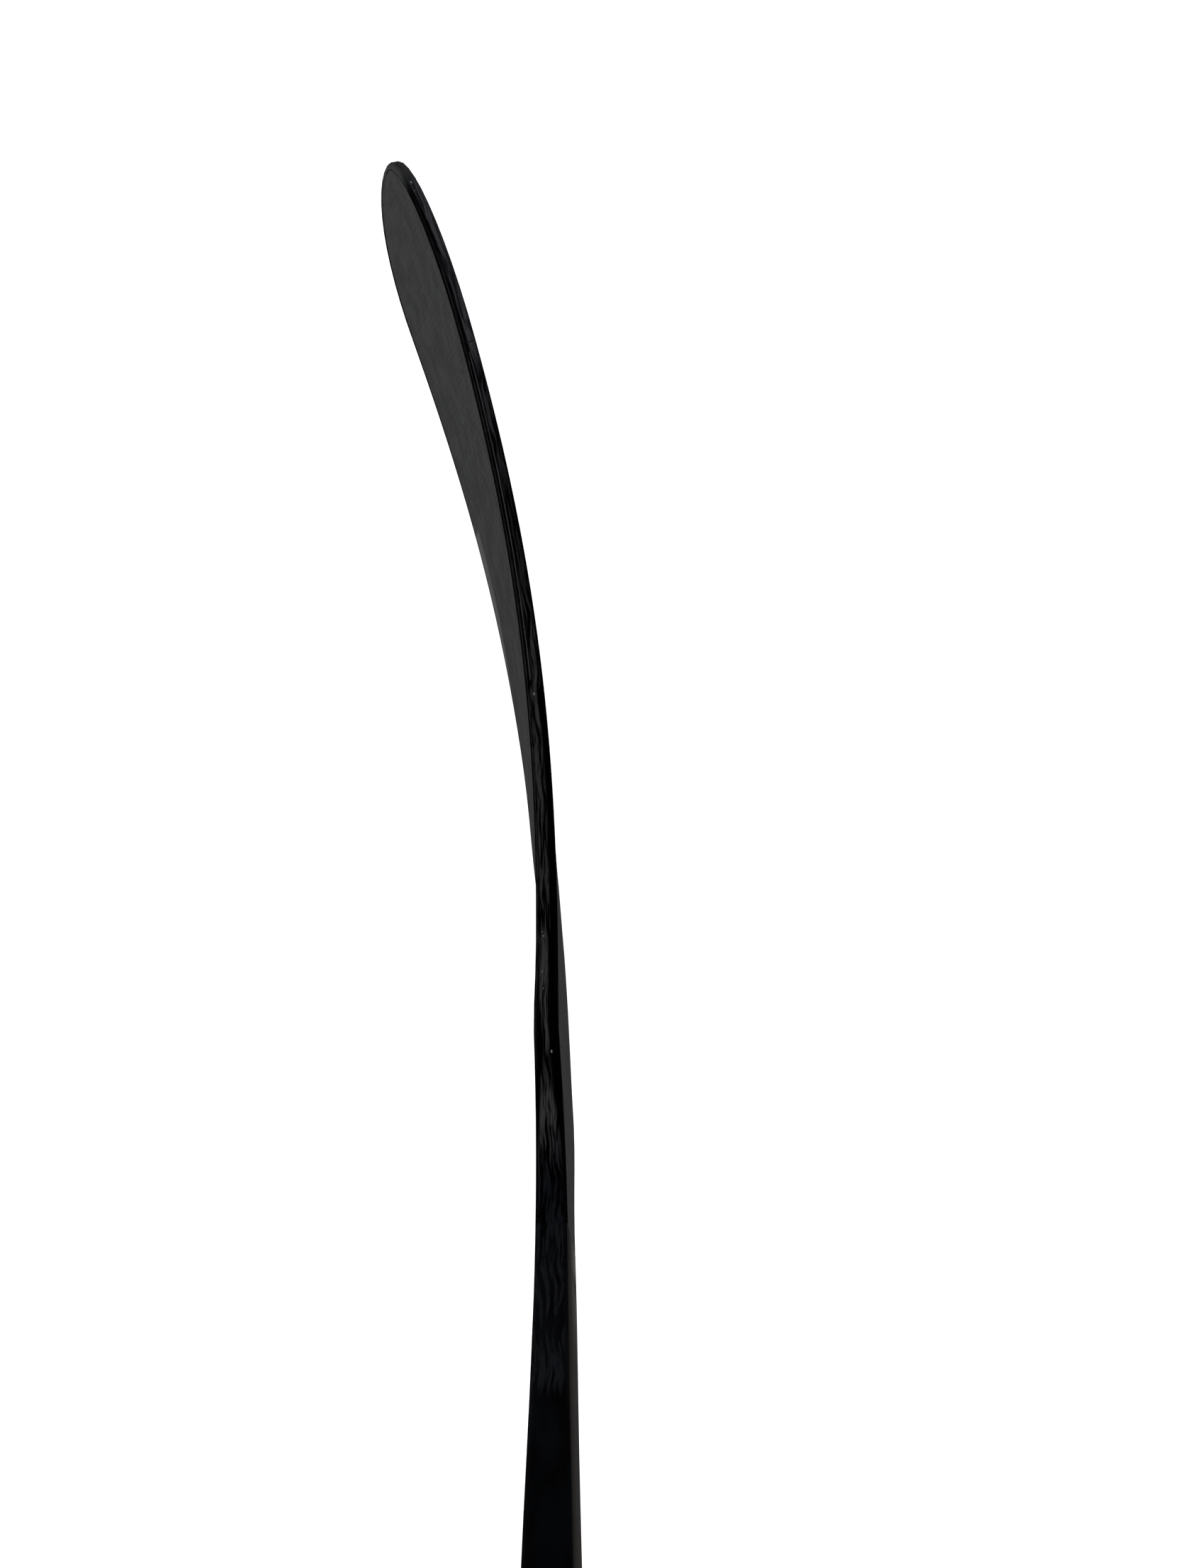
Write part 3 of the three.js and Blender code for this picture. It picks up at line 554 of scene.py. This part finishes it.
SLEEVE_STREAK = (0.0085, 0.0095, 0.0125)
# Wide-side greys; the darker one is painted shade by the inner corner.
WIDE_SIDE_DARK = (0.0130, 0.0115, 0.0105)
WIDE_SIDE_LIGHT = (0.0320, 0.0300, 0.0280)
# Painted reflection: the warm pale colour of a patch on the outer wide side below the sleeve.
WARM_REFLECTION = (0.1250, 0.1220, 0.1050)
STREAKS_END = 0.1985
WRAP_LOW_INNER = 0.121
WRAP_LOW_OUTER = 0.103
SLEEVE_WIDTH = 0.030
LACQUER_DARK = (0.0003, 0.0004, 0.0008)
LACQUER_LIGHT = (0.0032, 0.0036, 0.0054)
BLOOM_STARTS = (0.105, 0.160)
BLOOM_FADES = (0.240, 0.205)
WARM_REFLECTION_FADES = (0.168, 0.118)
WARM_REFLECTION_ACROSS = (-0.009, 0.012)
DARKER_INWARDS = (-0.014, 0.004)
WIDE_SIDE_FROM = (0.94, 0.995)


def shaft_material(name, streaked):
    """Black narrow sides and grey wide sides, streaked with resin at the joint; painted shade darkens
    the wide sides inwards, and a painted reflection warms them below the sleeve.
    """
    made, tree, shader = start_material(name)
    place, axes = attribute(tree, "on_stick")
    _, blade_axes = attribute(tree, "on_blade")
    patches = add_group(tree, mottle, place, along=0.030, across=0.008, fineness=3.0)
    bloom = math_node(tree, "MULTIPLY", between(tree, axes["X"], *BLOOM_FADES, 0.35, 1),
                      between(tree, axes["X"], *BLOOM_STARTS, 0.10, 1))
    cloudy = math_node(tree, "MULTIPLY", patches.outputs[0], bloom)
    colour = mixed(tree, cloudy, LACQUER_DARK, LACQUER_LIGHT)
    rough = between(tree, patches.outputs[0], 0, 1, 0.26, 0.34)
    height = patches.outputs[0]
    if streaked:
        lit_streaks = add_group(tree, runs, place, width=0.0013)
        tree.links.new(blade_axes["Y"], lit_streaks.inputs["Across Share"])
        # Painted light and shade: the sleeve's streaks are lit across the middle and fade into painted
        # shade at both edges.
        lit_streaks.inputs["Lit From"].default_value = -0.95
        wobble = math_node(tree, "MULTIPLY_ADD", patches.outputs[0], 0.004, axes["X"])
        kept = between(tree, wobble, STREAKS_END + 0.002, STREAKS_END - 0.006)
        kept = math_node(tree, "MULTIPLY", kept, between(tree, blade_axes["Y"], 0.95, 0.78))
        mask = math_node(tree, "MULTIPLY", lit_streaks.outputs[0], kept)
        height = mask
        colour = mixed(tree, mask, colour, SLEEVE_STREAK)
        rough = between(tree, mask, 0, 1, 0.24, 0.40)
    # Painted shade: the wide sides darken towards the inner corner and lighten towards their outer
    # margin.
    outer = math_node(tree, "MULTIPLY", axes["Z"], -1)
    wide_tone = mixed(tree, between(tree, outer, *DARKER_INWARDS), WIDE_SIDE_DARK, WIDE_SIDE_LIGHT)
    # Painted reflection: warm and pale on the outer wide side, just below the sleeve.
    painted_reflection = math_node(tree, "MULTIPLY", between(tree, axes["X"], *WARM_REFLECTION_FADES),
                       between(tree, outer, *WARM_REFLECTION_ACROSS))
    wide_tone = mixed(tree, painted_reflection, wide_tone, WARM_REFLECTION)
    wide_side = between(tree, math_node(tree, "ABSOLUTE", blade_axes["Y"]), *WIDE_SIDE_FROM)
    tree.links.new(mixed(tree, wide_side, colour, wide_tone), shader.inputs["Base Color"])
    tree.links.new(rough, shader.inputs["Roughness"])
    shader.inputs["Specular IOR Level"].default_value = 0.2
    bump_into(tree, shader, height, 0.3, 0.00008)
    return made


wrap = finished_copy("joint_wrap", "joint_sleeve")
# The sleeve's resin fills the hair-thin gaps at both its ends.
RESIN_FILL = 0.00029
NEAR_CUT = 0.001
up_shaft = Vector((-math.cos(LIE), 0, math.sin(LIE)))
bm = bmesh.new()
bm.from_mesh(wrap.data)
places = bm.verts.layers.float_vector["on_stick"]
top = max(vertex[places][0] for vertex in bm.verts)
for vertex in bm.verts:
    q, w, over = vertex[places]
    slant = WRAP_LOW_OUTER + (over / SLEEVE_WIDTH + 0.5) * (WRAP_LOW_INNER - WRAP_LOW_OUTER)
    if q > top - RESIN_FILL:
        vertex.co += up_shaft * RESIN_FILL
    elif q < slant + NEAR_CUT:
        vertex.co -= up_shaft * RESIN_FILL
bm.to_mesh(wrap.data)
bm.free()
wrap.data.materials.append(shaft_material("wrapped_joint_resin", True))

# ---- Shaft ----
# A hollow rounded-rectangle tube of wound carbon, rubbed down and sprayed with dark lacquer.

tube = finished_copy("shaft_tube", "shaft")
tube.data.materials.append(shaft_material("dark_shaft_lacquer", False))

# ---- Butt plug ----
# An injection-moulded plastic cup pressed into the shaft's open top end.

PLUG_DARK = (0.006, 0.006, 0.0065)
PLUG_LIGHT = (0.010, 0.010, 0.0105)
MOULD_GRAIN = 0.0004

plug_plastic, tree, shader = start_material("moulded_plug_plastic")
place, _ = attribute(tree, "on_stick")
grains = add_group(tree, mottle, place, along=MOULD_GRAIN, across=MOULD_GRAIN, fineness=2.0)
tree.links.new(mixed(tree, grains.outputs[0], PLUG_DARK, PLUG_LIGHT),
               shader.inputs["Base Color"])
tree.links.new(between(tree, grains.outputs[0], 0, 1, 0.42, 0.55), shader.inputs["Roughness"])
bump_into(tree, shader, grains.outputs[0], 0.3, 0.00005)

plug = finished_copy("butt_plug", "butt_end_plug")
plug.data.materials.append(plug_plastic)

# ---- Core, rib, tenon and joint filling ----
# Inside the blade: milled structural foam split by a laminate rib. Inside the joint: the
# blade's solid tenon, the adhesive round it, and the foam dam that keeps resin out of the tube.

FOAM_YELLOW = ((0.55, 0.50, 0.36), (0.72, 0.67, 0.50))
LAMINATE_BLACK = ((0.010, 0.010, 0.011), (0.022, 0.022, 0.023))
ADHESIVE_AMBER = ((0.50, 0.31, 0.06), (0.62, 0.42, 0.12))
FOAM_CELL = 0.0012
LAMINATE_CELL = 0.003
ADHESIVE_CELL = 0.004


def inner_material(name, shades, size, rough):
    """A plain filling with a cell or grain of one size in two shades."""
    made, tree, shader = start_material(name)
    coordinates = node(tree, "ShaderNodeTexCoord")
    cells = add_group(tree, mottle, coordinates.outputs["Object"], along=size, across=size)
    tree.links.new(mixed(tree, cells.outputs[0], *shades), shader.inputs["Base Color"])
    tree.links.new(between(tree, cells.outputs[0], 0, 1, rough, rough + 0.1), shader.inputs["Roughness"])
    bump_into(tree, shader, cells.outputs[0], 0.5, 0.0002)
    return made


foam = inner_material("milled_foam", FOAM_YELLOW, FOAM_CELL, 0.85)
bare = inner_material("bare_laminate", LAMINATE_BLACK, LAMINATE_CELL, 0.45)
glue = inner_material("cured_adhesive", ADHESIVE_AMBER, ADHESIVE_CELL, 0.30)
for inner, look in (("upper_core", foam), ("lower_core", foam), ("toe_core", foam),
                    ("heel_core", foam), ("foam_dam", foam), ("centre_rib", bare),
                    ("tenon", bare), ("adhesive_layer", glue)):
    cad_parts[inner].material_slots[0].material = look

# ---- Studio ----
# A plain pale floor under the sole, two large soft side lights and the camera over the heel.

FLOOR_RADIUS = 30
FLOOR_BELOW = 0.0005
FLOOR_PALE = (0.85, 0.85, 0.85, 1)
WHITE = (1, 1, 1, 1)
ROOM_LIGHT = 0.02
SOFTBOX_WIDTH = 1.6
SOFTBOX_HEIGHT = 1.2
FOREHAND_POWER = 22
BACKHAND_POWER = 16

floor_mesh = bpy.data.meshes.new("floor")
bm = bmesh.new()
bmesh.ops.create_circle(bm, cap_ends=True, segments=96, radius=FLOOR_RADIUS)
bmesh.ops.translate(bm, verts=bm.verts, vec=(heel.x, 0, cad_box[0][2] - FLOOR_BELOW))
bm.to_mesh(floor_mesh)
bm.free()
floor = bpy.data.objects.new("floor", floor_mesh)
bpy.context.scene.collection.objects.link(floor)
floor_paint, tree, shader = start_material("pale_floor")
shader.inputs["Base Color"].default_value = FLOOR_PALE
shader.inputs["Roughness"].default_value = 0.9
shader.inputs["Emission Color"].default_value = WHITE
shader.inputs["Emission Strength"].default_value = 1
floor_mesh.materials.append(floor_paint)
floor.visible_glossy = False

world = bpy.data.worlds.new("studio")
world.use_nodes = True
room = world.node_tree
background = room.nodes["Background"]
background.inputs["Color"].default_value = WHITE
# The room behind the floor looks as pale as the floor, and still gives next to no light.
rays = node(room, "ShaderNodeLightPath")
room.links.new(between(room, rays.outputs["Is Camera Ray"], 0, 1, ROOM_LIGHT, 1.0),
               background.inputs["Strength"])
bpy.context.scene.world = world


def soft_light(name, place, target, power, mirrored):
    """A large rectangular softbox turned towards a point."""
    lamp = bpy.data.lights.new(name, "AREA")
    lamp.shape = "RECTANGLE"
    lamp.size = SOFTBOX_WIDTH
    lamp.size_y = SOFTBOX_HEIGHT
    lamp.energy = power
    light = bpy.data.objects.new(name, lamp)
    light.visible_glossy = mirrored
    light.location = place
    light.rotation_euler = (Vector(target) - Vector(place)).to_track_quat("-Z", "Y").to_euler()
    bpy.context.scene.collection.objects.link(light)


blade_middle = heel + Vector((0.1, 0, 0.03))
soft_light("forehand_softbox", blade_middle + Vector((0.1, 1.6, 0.9)), blade_middle,
           FOREHAND_POWER, True)
soft_light("backhand_softbox", blade_middle + Vector((-0.1, -1.6, 0.7)), blade_middle,
           BACKHAND_POWER, False)

CAMERA_FROM_HEEL = Vector((-0.10684, -0.09688, 1.30573))
CAMERA_RIGHT = Vector((-0.07468, -0.99467, -0.07107))
CAMERA_UP = Vector((0.98645, -0.08412, 0.14085))
SENSOR_HEIGHT = 36
LENS = 85.49
FAR_END = 100

lens = bpy.data.cameras.new("camera")
lens.sensor_fit = "VERTICAL"
lens.sensor_height = SENSOR_HEIGHT
lens.lens = LENS
lens.clip_end = FAR_END
camera = bpy.data.objects.new("camera", lens)
turned = Matrix((CAMERA_RIGHT, CAMERA_UP, CAMERA_RIGHT.cross(CAMERA_UP))).transposed()
camera.matrix_world = Matrix.Translation(heel + CAMERA_FROM_HEEL) @ turned.to_4x4()
bpy.context.scene.collection.objects.link(camera)
bpy.context.scene.camera = camera
bpy.context.scene.view_settings.view_transform = "Standard"
